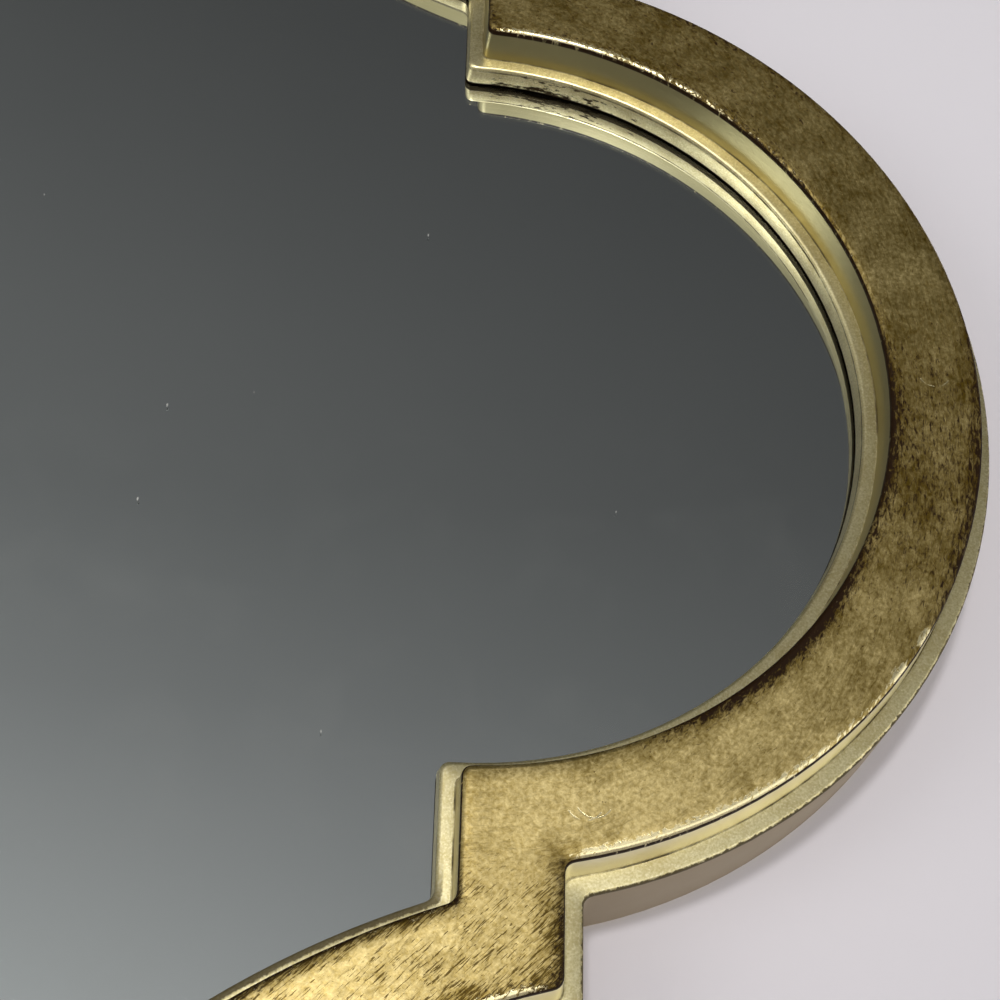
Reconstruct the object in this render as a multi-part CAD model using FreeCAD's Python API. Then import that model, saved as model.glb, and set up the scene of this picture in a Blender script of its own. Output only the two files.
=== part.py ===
import FreeCAD, Part
import math
import os

# Framed wall mirror. All sizes are in millimetres.
# The mirror is laid out on its back: x to the right, y up the wall, z out of the wall to the viewer,
# with z = 0 on the wall. Every piece is turned upright when it is written, so that it hangs with
# its face to -Y and its back on the plane Y = 0.

# Outline, measured along the inner edge of the raised band
LOBE_R = 108.0          # radius of the four round lobes
LOBE_AT = 270.0         # from the mirror's centre to the centre of a lobe
STEP_SET = 0.9          # the straight step lies this far outside the lobe's centre
STEP_RUN = 31.2         # length of the step, from the lobe to the scooped corner
SCOOP_R = 213.0         # radius of the hollow curve across each diagonal
CORNER_EASE = 1.8       # bevel that softens the corners where lobe, step and scoop meet

# Section of the frame
INNER_LEDGE = 4.4       # ledge between the opening and the raised band
BAND_WIDTH = 23.8       # width of the raised band
OUTER_LEDGE = 5.7       # ledge between the raised band and the outer wall
BAND_THICK = 11.3       # height of the raised band above the ledges
LIP_THICK = 6.4         # lip in front of the glass
LIP_WIDTH = 8.0         # lip from the opening to the rabbet's wall
WALL_THICK = 9.0        # outer wall round the recess in the back
RECESS_DEPTH = 15.3     # from the wall to the land that the hardware is screwed to
BAND_EDGE_EASE = 0.9    # bevel that softens the band's two upper edges
LEDGE_EDGE_EASE = 1.0   # bevel that softens the edges of both ledges

# Sheets in the rabbet
GLASS_THICK = 2.0
FILLER_THICK = 4.0
BOARD_THICK = 3.0
GLASS_GAP = 1.0         # round the glass and the filler
BOARD_GAP = 1.5         # round the backing board

# Pan-head screws
SCREW_R = 1.75
SCREW_HEAD_R = 3.6
SCREW_HEAD_TOP_R = 2.3  # flat of the head
SCREW_HEAD_HEIGHT = 2.4
SCREW_LENGTH = 11.0     # under the head
SCREW_SIDES = 12        # flats that stand for the round of a screw and of its hole
THREAD_BITE = 0.15      # the thread is cut this far into the wall of its hole

# Turn buttons
BUTTON_REACH = 22.0     # from the pivot to the tip
BUTTON_R = 6.0          # clipped end round the pivot
BUTTON_CLIPS = 4        # flats of that end
BUTTON_TIP_WIDTH = 8.0  # straight end over the board
BUTTON_THICK = 1.5
BUTTON_LIFT = 2.2       # the tip is bent up this far, for a finger
BUTTON_BENT = 6.0       # length of the bent stretch
BUTTON_SET = 8.0        # from the rabbet's wall to the pivot
BUTTON_SLACK = 0.1      # round the screw and under its head

# Hangers
RING_WIRE_R = 1.3
RING_BAR = 16.0         # width at the straight bar, between the middles of the wire
RING_END = 10.0         # width at the far end
RING_REACH = 14.0       # from the bar to the far end
RING_SLACK = 0.25       # round the bar in the strap's loop
RING_STRAP_GAP = 0.3    # between the hanging ring and the strap
STRAP_THICK = 1.0       # one leaf of the folded strap
STRAP_WIDTH = 10.0
STRAP_LENGTH = 28.0     # from the ring's bar to the end of the leaf
STRAP_END_ROUND = 3.5
STRAP_HOLE = 20.5       # from the ring's bar to the screw
STRAP_HOLE_SLACK = 0.2
HANGER_SET = 6.5        # from the rabbet's wall to the middle of the strap
HANGER_ANGLE = 18.0     # round the scoop, from the diagonal towards the top lobe

# Offsets of the frame's outlines, outwards from the inner edge of the raised band
OPENING = -INNER_LEDGE
RABBET = OPENING + LIP_WIDTH
OUTSIDE = BAND_WIDTH + OUTER_LEDGE
RECESS = OUTSIDE - WALL_THICK

# Levels above the wall
BOARD_FRONT = RECESS_DEPTH + BOARD_THICK
FILLER_FRONT = BOARD_FRONT + FILLER_THICK
GLASS_FRONT = FILLER_FRONT + GLASS_THICK
LEDGE = GLASS_FRONT + LIP_THICK
FACE = LEDGE + BAND_THICK

# Height of the hanger ring's bar above the land
BAR_HEIGHT = RING_WIRE_R + RING_SLACK + STRAP_THICK

# The scoop's circle passes through the far ends of two steps, so its centre is on the diagonal
STEP_LINE = LOBE_AT + STEP_SET
STEP_END = math.sqrt(LOBE_R ** 2 - STEP_SET ** 2) + STEP_RUN
HALF_CHORD = (STEP_LINE - STEP_END) / math.sqrt(2)
SCOOP_AT = (STEP_LINE + STEP_END) / 2 + math.sqrt((SCOOP_R ** 2 - HALF_CHORD ** 2) / 2)

LOBE_COUNT = 4
Z = FreeCAD.Vector(0, 0, 1)
ORIGIN = FreeCAD.Vector(0, 0, 0)
SAME_LEVEL = 1e-4       # heights closer than this are the same level
MITRED = 1              # corners of a bent wire are mitred


def at(x, y, z=0.0):
    return FreeCAD.Vector(x, y, z)


def turned(point, quarter):
    """The point, carried round the mirror's centre by a number of quarter turns."""
    return FreeCAD.Rotation(Z, 90.0 * quarter).multVec(point)


# Outlines and prisms

def outline(offset):
    """Closed wire round the mirror, a given distance outside the band's inner edge."""
    lobe = LOBE_R + offset
    step = STEP_LINE + offset
    scoop = SCOOP_R - offset
    lobe_end = math.sqrt(lobe ** 2 - (STEP_SET + offset) ** 2)
    step_end = SCOOP_AT - math.sqrt(scoop ** 2 - (SCOOP_AT - step) ** 2)
    scoop_middle = SCOOP_AT - scoop / math.sqrt(2)
    edges = []
    for quarter in range(LOBE_COUNT):
        start = turned(at(step, -lobe_end), quarter)
        tip = turned(at(LOBE_AT + lobe, 0), quarter)
        end = turned(at(step, lobe_end), quarter)
        corner = turned(at(step, step_end), quarter)
        middle = turned(at(scoop_middle, scoop_middle), quarter)
        next_corner = turned(at(step_end, step), quarter)
        next_start = turned(at(step, -lobe_end), quarter + 1)
        edges.append(Part.Arc(start, tip, end).toShape())
        edges.append(Part.LineSegment(end, corner).toShape())
        edges.append(Part.Arc(corner, middle, next_corner).toShape())
        edges.append(Part.LineSegment(next_corner, next_start).toShape())
    return Part.Wire(edges)


def is_upright(edge):
    return abs(edge.BoundBox.ZLength - edge.Length) < SAME_LEVEL


def lies_on(shape, level):
    return abs(shape.BoundBox.ZMin - level) < SAME_LEVEL and abs(shape.BoundBox.ZMax - level) < SAME_LEVEL


def prism(offset, bottom, top):
    """Solid of one outline between two levels."""
    wire = outline(offset)
    wire.translate(at(0, 0, bottom))
    return Part.Face(wire).extrude(at(0, 0, top - bottom))


def eased_prism(offset, bottom, top):
    """The same, with its upright corners bevelled."""
    solid = prism(offset, bottom, top)
    corners = [edge for edge in solid.Edges if is_upright(edge)]
    return solid.makeChamfer(CORNER_EASE, corners)


def edges_on(solid, level):
    return [edge for edge in solid.Edges if lies_on(edge, level)]


# Frame

def base_frame():
    ring = eased_prism(OUTSIDE, 0, LEDGE).cut(eased_prism(OPENING, 0, LEDGE))
    ring = ring.makeChamfer(LEDGE_EDGE_EASE, edges_on(ring, LEDGE))
    ring = ring.cut(prism(RABBET, 0, GLASS_FRONT))
    ring = ring.cut(prism(RECESS, 0, RECESS_DEPTH))
    for place, direction in button_places():
        ring = ring.cut(on_land(screw_hole(BUTTON_THICK + BUTTON_SLACK), place, direction))
    for place, direction in hanger_places().values():
        drill = screw_hole(2 * STRAP_THICK)
        drill.translate(at(-STRAP_HOLE, 0))
        ring = ring.cut(on_land(drill, place, direction))
    return ring


def face_band():
    ring = eased_prism(BAND_WIDTH, LEDGE, FACE).cut(eased_prism(0, LEDGE, FACE))
    return ring.makeChamfer(BAND_EDGE_EASE, edges_on(ring, FACE))


# Sheets behind the lip

def mirror_pane():
    return prism(RABBET - GLASS_GAP, FILLER_FRONT, GLASS_FRONT)


def filler_sheet():
    return prism(RABBET - GLASS_GAP, BOARD_FRONT, FILLER_FRONT)


def backing_board():
    return prism(RABBET - BOARD_GAP, RECESS_DEPTH, BOARD_FRONT)


# Places on the land in the back. A fitting is drawn with z out of the land, and x along its length.

def on_land(shape, place, direction):
    along = FreeCAD.Vector(direction).normalize()
    out = Z * -1
    turn = FreeCAD.Rotation(along, out.cross(along), out, "ZXY")
    placed = shape.copy()
    placed.Placement = FreeCAD.Placement(place, turn).multiply(shape.Placement)
    return placed


def button_places():
    """Pivot and pointing direction of each turn button: one at each lobe's tip and one in each scoop."""
    lobe = LOBE_R + RABBET + BUTTON_SET
    scoop = SCOOP_R - RABBET - BUTTON_SET
    diagonal = at(1, 1).normalize()
    places = []
    for quarter in range(LOBE_COUNT):
        tip_pivot = at(LOBE_AT + lobe, 0)
        scoop_pivot = at(SCOOP_AT, SCOOP_AT) - diagonal * scoop
        places.append((turned(tip_pivot, quarter), turned(at(-1, 0), quarter)))
        places.append((turned(scoop_pivot, quarter), turned(diagonal * -1, quarter)))
    for pivot, direction in places:
        pivot.z = RECESS_DEPTH
    return places


def hanger_places():
    """Foot of each ring's bar and the direction from its strap to the ring, in the two upper scoops."""
    ray = FreeCAD.Rotation(Z, -HANGER_ANGLE).multVec(at(-1, -1).normalize())
    along = at(ray.y, -ray.x)
    right = at(SCOOP_AT, SCOOP_AT, RECESS_DEPTH) + ray * (SCOOP_R - RABBET - HANGER_SET)
    right = right + along * (STRAP_LENGTH / 2)
    left = at(-right.x, right.y, right.z)
    return {"right": (right, along), "left": (left, at(-along.x, along.y))}


# Screws

def rod_section(radius, level):
    points = []
    for side in range(SCREW_SIDES + 1):
        angle = 2 * math.pi * side / SCREW_SIDES
        points.append(at(radius * math.cos(angle), radius * math.sin(angle), level))
    return Part.makePolygon(points)


def rod(bottom_r, top_r, bottom, top):
    return Part.makeLoft([rod_section(bottom_r, bottom), rod_section(top_r, top)], True, True)


def screw():
    """Pan-head screw with its seat at z = 0 and its head above."""
    head = rod(SCREW_HEAD_R, SCREW_HEAD_TOP_R, 0, SCREW_HEAD_HEIGHT)
    return head.fuse(rod(SCREW_R, SCREW_R, -SCREW_LENGTH, 0))


def screw_hole(seat):
    """Hole for a screw whose head seats a given height above the land."""
    hole_r = SCREW_R - THREAD_BITE
    return rod(hole_r, hole_r, seat - SCREW_LENGTH, 0)


def button_screws():
    one = screw()
    one.translate(at(0, 0, BUTTON_THICK + BUTTON_SLACK))
    return Part.makeCompound([on_land(one, place, way) for place, way in button_places()])


def hanger_screws():
    one = screw()
    one.translate(at(-STRAP_HOLE, 0, 2 * STRAP_THICK))
    return Part.makeCompound([on_land(one, place, way) for place, way in hanger_places().values()])


# Turn buttons

def turn_button():
    """Tapered steel plate with its pivot at the origin and its tip, bent up for a finger, along x."""
    half_tip = BUTTON_TIP_WIDTH / 2
    points = [at(BUTTON_REACH, -half_tip), at(BUTTON_REACH, half_tip)]
    for clip in range(BUTTON_CLIPS + 1):
        angle = math.pi / 2 + math.pi * clip / BUTTON_CLIPS
        points.append(at(BUTTON_R * math.cos(angle), BUTTON_R * math.sin(angle)))
    plan = Part.makePolygon(points + points[:1])
    plate = Part.Face(plan).extrude(at(0, 0, BUTTON_THICK + BUTTON_LIFT))
    bend = BUTTON_REACH - BUTTON_BENT
    corners = [
        at(-BUTTON_R, 0, 0),
        at(bend, 0, 0),
        at(BUTTON_REACH, 0, BUTTON_LIFT),
        at(BUTTON_REACH, 0, BUTTON_LIFT + BUTTON_THICK),
        at(bend, 0, BUTTON_THICK),
        at(-BUTTON_R, 0, BUTTON_THICK),
        at(-BUTTON_R, 0, 0),
    ]
    side = Part.Face(Part.makePolygon(corners)).extrude(at(0, 2 * BUTTON_R, 0))
    side.translate(at(0, -BUTTON_R, 0))
    plate = plate.common(side)
    return plate.cut(Part.makeCylinder(SCREW_R + BUTTON_SLACK, BUTTON_THICK))


# Hangers

def hanger_strap():
    """Strap folded round the ring's bar: a loop at x = 0 and a double leaf towards -x."""
    across = at(0, 1, 0)
    side = at(0, -STRAP_WIDTH / 2, BAR_HEIGHT)
    leaf = Part.makeBox(STRAP_LENGTH, STRAP_WIDTH, 2 * STRAP_THICK, at(-STRAP_LENGTH, -STRAP_WIDTH / 2))
    ends = [edge for edge in leaf.Edges if is_upright(edge) and edge.BoundBox.XMax < -STRAP_LENGTH / 2]
    leaf = leaf.makeFillet(STRAP_END_ROUND, ends)
    loop = Part.makeCylinder(BAR_HEIGHT, STRAP_WIDTH, side, across)
    bore = Part.makeCylinder(RING_WIRE_R + RING_SLACK, STRAP_WIDTH, side, across)
    strap = leaf.fuse(loop).removeSplitter().cut(bore)
    drill = Part.makeCylinder(SCREW_R + STRAP_HOLE_SLACK, 2 * STRAP_THICK, at(-STRAP_HOLE, 0))
    return strap.cut(drill)


def hanger_ring():
    """Wire ring, its straight bar in the strap's loop and its far end hanging back over the strap."""
    y_way = at(0, 1, 0)
    bend = at(0, RING_BAR / 2)
    end = at(RING_REACH, RING_END / 2)
    end_low = at(RING_REACH, -RING_END / 2)
    bend_low = at(0, -RING_BAR / 2)
    route = Part.makePolygon([ORIGIN, bend, end, end_low, bend_low, ORIGIN])
    section = Part.Wire(Part.makeCircle(RING_WIRE_R, ORIGIN, y_way))
    ring = route.makePipeShell([section], True, False, MITRED).removeSplitter()
    rise = 2 * STRAP_THICK + RING_STRAP_GAP + RING_WIRE_R - BAR_HEIGHT
    ring.rotate(ORIGIN, y_way, 180 + math.degrees(math.asin(rise / RING_REACH)))
    ring.translate(at(0, 0, BAR_HEIGHT))
    return ring


# Assembly

def assembly():
    pieces = {
        "base_frame": base_frame(),
        "face_band": face_band(),
        "mirror_pane": mirror_pane(),
        "filler_sheet": filler_sheet(),
        "backing_board": backing_board(),
        "button_screws": button_screws(),
        "hanger_screws": hanger_screws(),
    }
    for number, (place, direction) in enumerate(button_places(), start=1):
        pieces[f"turn_button_{number}"] = on_land(turn_button(), place, direction)
    for hand, (place, direction) in hanger_places().items():
        pieces[f"hanger_strap_{hand}"] = on_land(hanger_strap(), place, direction)
        pieces[f"hanger_ring_{hand}"] = on_land(hanger_ring(), place, direction)
    return pieces


os.makedirs("parts", exist_ok=True)
for name, shape in assembly().items():
    shape.rotate(ORIGIN, at(1, 0, 0), 90)
    shape.exportStep(f"parts/{name}.step")
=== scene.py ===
# %% [markdown]
# # A quatrefoil wall mirror in antique gold
# The real object is a flat ring with four round lobes. A lipped base holds a sheet of silvered glass, and a
# raised band of the same outline is glued on its face. The base is sprayed with satin gold. The band is
# gilded, brushed over with a dark glaze and rubbed back, so that its edges shine and its hollows stay dark.
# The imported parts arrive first, as a fixed frame in metres: +Z runs up the wall, and the face looks to -Y.

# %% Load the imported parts
import math

import bpy
from mathutils import Euler, Matrix, Vector


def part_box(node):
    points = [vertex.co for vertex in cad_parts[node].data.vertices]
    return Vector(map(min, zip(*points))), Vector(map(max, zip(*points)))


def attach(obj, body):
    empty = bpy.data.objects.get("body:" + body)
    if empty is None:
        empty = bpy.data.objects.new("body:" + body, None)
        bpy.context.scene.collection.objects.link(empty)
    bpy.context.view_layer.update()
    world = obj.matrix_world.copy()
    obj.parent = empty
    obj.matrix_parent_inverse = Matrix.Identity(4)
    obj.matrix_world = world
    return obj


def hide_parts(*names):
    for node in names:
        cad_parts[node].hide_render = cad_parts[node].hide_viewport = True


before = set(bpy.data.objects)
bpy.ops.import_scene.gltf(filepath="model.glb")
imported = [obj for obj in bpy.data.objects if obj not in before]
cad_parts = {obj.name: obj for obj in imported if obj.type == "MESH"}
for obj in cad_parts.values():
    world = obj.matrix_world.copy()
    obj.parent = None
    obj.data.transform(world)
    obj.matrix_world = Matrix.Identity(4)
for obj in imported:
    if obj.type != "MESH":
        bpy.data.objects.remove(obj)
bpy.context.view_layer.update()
bpy.ops.object.select_all(action="DESELECT")
print("packed nodes:", sorted(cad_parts))

# %% [markdown]
# ## Small helpers
# Colours are written as the eye sees them, in sRGB hex, and turned to linear light in one place. A material
# is a graph of nodes, so one function adds a node, sets its values and plugs in what it reads. Inputs are
# listed in the order of the node's sockets: Map Range, for one, takes a value, the range it comes from and
# the range it goes to.

# %% Colour and node helpers
MM = 0.001


def linear(code):
    """Linear RGBA of an sRGB hex code such as '#c8a050'."""
    parts = [int(code[i:i + 2], 16) / 255 for i in (1, 3, 5)]
    return [p / 12.92 if p <= 0.04045 else ((p + 0.055) / 1.055) ** 2.4 for p in parts] + [1.0]


def in_use(sockets):
    """The sockets that a node shows with its present settings."""
    return [socket for socket in sockets if socket.enabled]


def add(owner, kind, inputs=(), **settings):
    """Adds one node, with its inputs in a list by order or in a dict by name.

    An input is a plain value, another node (its first output) or an output socket.
    """
    tree = owner.node_tree
    node = tree.nodes.new("ShaderNode" + kind)
    for name, value in settings.items():
        setattr(node, name, value)
    if isinstance(inputs, dict):
        pairs = [(node.inputs[name], value) for name, value in inputs.items()]
    else:
        pairs = list(zip(in_use(node.inputs), inputs))
    for socket, value in pairs:
        if isinstance(value, bpy.types.Node):
            value = in_use(value.outputs)[0]
        if isinstance(value, bpy.types.NodeSocket):
            tree.links.new(value, socket)
        else:
            socket.default_value = value
    return node


def new_material(name):
    """An empty material, and the Object coordinates that its patterns read."""
    material = bpy.data.materials.new(name)
    material.use_nodes = True
    material.node_tree.nodes.clear()
    return material, add(material, "TexCoord").outputs["Object"]


def dress(piece, material):
    piece.data.materials.clear()
    piece.data.materials.append(material)
    print(piece.name, "is finished in", material.name)


print("middle grey in linear light:", round(linear("#808080")[0], 3))

# %% [markdown]
# ## The outline
# Every edge of the frame is the same line, moved in or out: four round lobes, four scooped corners, and a
# straight step where they meet. It could be traced by eye, but the parts were drawn from a few radii, so
# the same radii give each edge here. The corners are softened by a short curve, as sanding leaves them.

# %% Outline of one edge
LOBE_R = 108.0 * MM
LOBE_AT = 270.0 * MM
STEP_SET = 0.9 * MM
STEP_RUN = 31.2 * MM
SCOOP_R = 213.0 * MM
CORNER_ROUND = 2.6 * MM
BAND_WIDTH = 23.8 * MM
STEP_LINE = LOBE_AT + STEP_SET
STEP_END = math.sqrt(LOBE_R ** 2 - STEP_SET ** 2) + STEP_RUN
HALF_CHORD = (STEP_LINE - STEP_END) / math.sqrt(2)
SCOOP_AT = (STEP_LINE + STEP_END) / 2 + math.sqrt((SCOOP_R ** 2 - HALF_CHORD ** 2) / 2)
LOBE_CUTS, STEP_CUTS, SCOOP_CUTS, CORNER_CUTS = 64, 4, 32, 5
LOBE_CENTRE = Vector((LOBE_AT, 0))
SCOOP_CENTRE = Vector((SCOOP_AT, SCOOP_AT))
TURNS = (2, 3, 4, 5)    # quarter turns, from the left lobe round, so that the ends meet away from the camera


def arc(centre, radius, start, end, cuts):
    angles = [start + (end - start) * i / cuts for i in range(cuts + 1)]
    return [centre + radius * Vector((math.cos(a), math.sin(a))) for a in angles]


def straight(start, end, cuts):
    return [Vector(start).lerp(Vector(end), i / cuts) for i in range(cuts + 1)]


def soft_corner(before, corner, after):
    """Points of the short curve between two edges, without its ends."""
    points = []
    for i in range(1, CORNER_CUTS):
        t = i / CORNER_CUTS
        points.append(before.lerp(corner, t).lerp(corner.lerp(after, t), t))
    return points


def quarter_turn(point, count):
    x, y = point
    for _ in range(count % 4):
        x, y = -y, x
    return Vector((x, y))


def right_quarter(offset):
    """Points of the right lobe, a step, the upper right scoop and the next step."""
    lobe, step, scoop = LOBE_R + offset, STEP_LINE + offset, SCOOP_R - offset
    lobe_half = math.acos((STEP_SET + offset) / lobe)
    lobe_end = lobe * math.sin(lobe_half)
    step_end = SCOOP_AT - math.sqrt(scoop ** 2 - (SCOOP_AT - step) ** 2)
    scoop_start = math.atan2(step_end - SCOOP_AT, step - SCOOP_AT) - CORNER_ROUND / scoop
    scoop_stop = -math.pi * 3 / 2 - scoop_start
    lobe_trim = lobe_half - CORNER_ROUND / lobe
    points = arc(LOBE_CENTRE, lobe, -lobe_trim, lobe_trim, LOBE_CUTS)
    stretches = [
        straight((step, lobe_end + CORNER_ROUND), (step, step_end - CORNER_ROUND), STEP_CUTS),
        arc(SCOOP_CENTRE, scoop, scoop_start, scoop_stop, SCOOP_CUTS),
        straight((step_end - CORNER_ROUND, step), (lobe_end + CORNER_ROUND, step), STEP_CUTS),
        [quarter_turn(points[0], 1)],
    ]
    corners = [(step, lobe_end), (step, step_end), (step_end, step), (lobe_end, step)]
    for corner, stretch in zip(corners, stretches):
        points += soft_corner(points[-1], Vector(corner), stretch[0]) + stretch
    return points[:-1]


def outline(offset):
    """Points (x, z) of the closed line at a distance outside the band's inner edge."""
    quarter = right_quarter(offset)
    return [quarter_turn(p, turn) for turn in TURNS for p in quarter]


RING_POINTS = len(outline(0.0))
print("points round each edge:", RING_POINTS)

# %% [markdown]
# ## A ring from its section
# The frame has one section all the way round. It could be a curve with a bevel shape, but a curve pinches
# the section at the corners. Here a circle takes the shape of the first edge, and is then extruded from
# each line of the section to the next until it meets itself. Each point keeps its distance across the
# frame, which the finishes read later.

# %% Extrude a section into a ring
SMOOTH_UNDER = math.radians(35)
MERGE_WITHIN = 0.001 * MM


def place_loop(mesh, loop, points):
    for index, point in zip(loop, points):
        mesh.vertices[index].co = point


def start_loop(name, points):
    """A circle with one vertex for each point, moved to the points, with all its edges selected."""
    bpy.ops.object.select_all(action="DESELECT")
    bpy.ops.mesh.primitive_circle_add(vertices=len(points), radius=LOBE_R)
    piece = bpy.context.object
    piece.name = piece.data.name = name
    place_loop(piece.data, range(len(points)), points)
    bpy.ops.object.mode_set(mode="EDIT")
    bpy.ops.mesh.select_mode(type="EDGE")
    bpy.ops.mesh.select_all(action="SELECT")
    bpy.ops.object.mode_set(mode="OBJECT")
    return piece


def extruded_loop(mesh, loop):
    """Extrudes the selected loop, and returns the new points in the same order as the old."""
    old_count = len(mesh.vertices)
    bpy.ops.object.mode_set(mode="EDIT")
    bpy.ops.mesh.extrude_edges_move()
    bpy.ops.object.mode_set(mode="OBJECT")
    partner = {}
    for edge in mesh.edges:
        low, high = sorted(edge.vertices)
        if low < old_count <= high:
            partner[low] = high
    return [partner[index] for index in loop]


def skin(name, loops):
    """A skin that runs from each loop of points to the next. Also returns the vertices of each loop."""
    piece = start_loop(name, loops[0])
    rows = [list(range(len(loops[0])))]
    for points in loops[1:]:
        rows.append(extruded_loop(piece.data, rows[-1]))
        place_loop(piece.data, rows[-1], points)
    return piece, rows


def close_skin(piece):
    """Joins points that lie on each other, turns the faces outwards and smooths all but the sharp edges."""
    bpy.ops.object.mode_set(mode="EDIT")
    bpy.ops.mesh.select_all(action="SELECT")
    bpy.ops.mesh.remove_doubles(threshold=MERGE_WITHIN)
    bpy.ops.mesh.normals_make_consistent(inside=False)
    bpy.ops.object.mode_set(mode="OBJECT")
    bpy.ops.object.shade_smooth_by_angle(angle=SMOOTH_UNDER)
    print(piece.name, "faces:", len(piece.data.polygons))


def edge_line(offset, height):
    """The outline at a distance outside the band's inner edge and a height above the wall."""
    return [(x, -height, z) for x, z in outline(offset)]


def section_ring(name, section):
    """Closed ring whose section runs through (offset, height) points."""
    section = section + section[:1]
    ring, rows = skin(name, [edge_line(offset, height) for offset, height in section])
    across = ring.data.attributes.new("across", "FLOAT", "POINT")
    for (offset, _), row in zip(section, rows):
        for index in row:
            across.data[index].value = offset
    close_skin(ring)
    return ring


def rounded(offset, height, radius, start, cuts=4):
    """Points of a rounded edge about a centre. In degrees, 0 is outwards and 90 is to the front."""
    angles = [math.radians(start - 90 * i / cuts) for i in range(cuts + 1)]
    return [(offset + radius * math.cos(a), height + radius * math.sin(a)) for a in angles]


print("edges sharper than", round(math.degrees(SMOOTH_UNDER)), "degrees stay sharp")

# %% [markdown]
# ## The raised band
# The band is what the eye goes to: a flat strip 24 mm wide with softly rounded edges. Its walls lean out a
# little towards the base, because it came out of a mould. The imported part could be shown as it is, but its
# facets would catch the light, so the band is drawn again from its section. Its face is divided into strips
# so that the finish can follow it.

# %% Band
BAND_ROUND = 1.3 * MM
INNER_FLARE = 0.6 * MM
OUTER_FLARE = 0.9 * MM
FACE_STRIPS = 7
LEDGE = -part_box("face_band")[1][1]
FACE = -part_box("face_band")[0][1]


def band_section():
    top = FACE - BAND_ROUND
    inner, outer = BAND_ROUND, BAND_WIDTH - BAND_ROUND
    face = [(inner + (outer - inner) * i / FACE_STRIPS, FACE) for i in range(1, FACE_STRIPS)]
    return ([(-INNER_FLARE, LEDGE)] + rounded(inner, top, BAND_ROUND, 180) + face
            + rounded(outer, top, BAND_ROUND, 90) + [(BAND_WIDTH + OUTER_FLARE, LEDGE)])


band = section_ring("raised_band", band_section())
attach(band, "mirror")
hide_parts("face_band")

# %% [markdown]
# ## The base
# The base carries everything. From the front it shows as two narrow ledges and the walls below them. From
# the back it is a rim with a wide recess and a step, the rabbet, that the glass drops into. Booleans could
# cut these from a block, but a ring of one section keeps every edge clean, so that it can be rounded.

# %% Base
INNER_LEDGE = 4.4 * MM
OUTER_LEDGE = 5.7 * MM
LIP_WIDTH = 8.0 * MM
WALL_THICK = 9.0 * MM
LEDGE_ROUND = 0.9 * MM
LIP_ROUND = 0.5 * MM
LIP_FLARE = 0.5 * MM
BACK_ROUND = 0.8 * MM
OPENING = -INNER_LEDGE
RABBET = OPENING + LIP_WIDTH
FACET_GAP = 0.15 * MM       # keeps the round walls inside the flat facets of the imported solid
OUTSIDE = BAND_WIDTH + OUTER_LEDGE - FACET_GAP
RECESS = OUTSIDE - WALL_THICK
GLASS_FRONT = -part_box("mirror_pane")[0][1]
LAND = -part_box("backing_board")[1][1]


def base_section():
    return (rounded(OPENING - LIP_FLARE + LIP_ROUND, GLASS_FRONT + LIP_ROUND, LIP_ROUND, 270, 2)
            + rounded(OPENING + LEDGE_ROUND, LEDGE - LEDGE_ROUND, LEDGE_ROUND, 180)
            + [(0.0, LEDGE), (BAND_WIDTH, LEDGE)]
            + rounded(OUTSIDE - LEDGE_ROUND, LEDGE - LEDGE_ROUND, LEDGE_ROUND, 90)
            + rounded(OUTSIDE - BACK_ROUND, BACK_ROUND, BACK_ROUND, 0, 2)
            + [(RECESS, 0.0), (RECESS, LAND), (RABBET, LAND), (RABBET, GLASS_FRONT)])


base = section_ring("base_ring", base_section())
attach(base, "mirror")
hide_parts("base_frame")

# %% [markdown]
# ## The silvering
# A glass mirror reflects at its back: the silver lies behind 2 mm of clear glass, and that is why a dark
# line shows between the frame's lip and its reflection. A mirror on the front face would lose that line. So
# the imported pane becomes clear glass, and a thin sheet of silver lies just inside its back face.

# %% Silvering
GLASS_GAP = 1.0 * MM
SILVER_THICK = 0.05 * MM
SILVER_SET = 0.05 * MM      # keeps the silver's face clear of the glass's own faces
GLASS_BACK = -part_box("mirror_pane")[1][1]


def silver_sheet():
    sheet = start_loop("silvering", edge_line(RABBET - GLASS_GAP - SILVER_SET, GLASS_BACK + SILVER_SET))
    bpy.ops.object.mode_set(mode="EDIT")
    bpy.ops.mesh.edge_face_add()
    bpy.ops.mesh.extrude_region_move(TRANSFORM_OT_translate={"value": (0, -SILVER_THICK, 0)})
    bpy.ops.mesh.select_all(action="SELECT")
    bpy.ops.mesh.normals_make_consistent(inside=False)
    bpy.ops.object.mode_set(mode="OBJECT")
    print("silvering faces:", len(sheet.data.polygons))
    return sheet


silver = silver_sheet()
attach(silver, "mirror")

# %% [markdown]
# ## Fittings on the back
# The photograph doesn't show the back. A mirror of this kind has its board held by turn buttons and hangs
# from two strap hangers, so these are drawn from what such fittings are like. Each is modelled once, lying
# at the origin with its length along x and its top to +z, copied, and set on the land in the recess.

# %% Places of the fittings
BUTTON_SET = 8.0 * MM       # from the rabbet's edge to the screw
HANGER_SET = 6.5 * MM       # from the rabbet's edge to the middle of the strap
HANGER_ANGLE = 18.0         # degrees up the scoop from its middle
SCOOP_MIDDLE = 225.0        # degrees from the scoop's centre to its middle
STRAP_LENGTH = 28.0 * MM
DIAGONAL = Vector((1, 1)).normalized()


def on_land(place, along):
    """Matrix from a fitting's own axes to a place on the land, with its length along a direction."""
    axes = Matrix(((along.x, along.y, 0), (0, 0, 1), (along.y, -along.x, 0)))
    return Matrix.Translation((place.x, -LAND, place.y)) @ axes.to_4x4()


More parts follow.
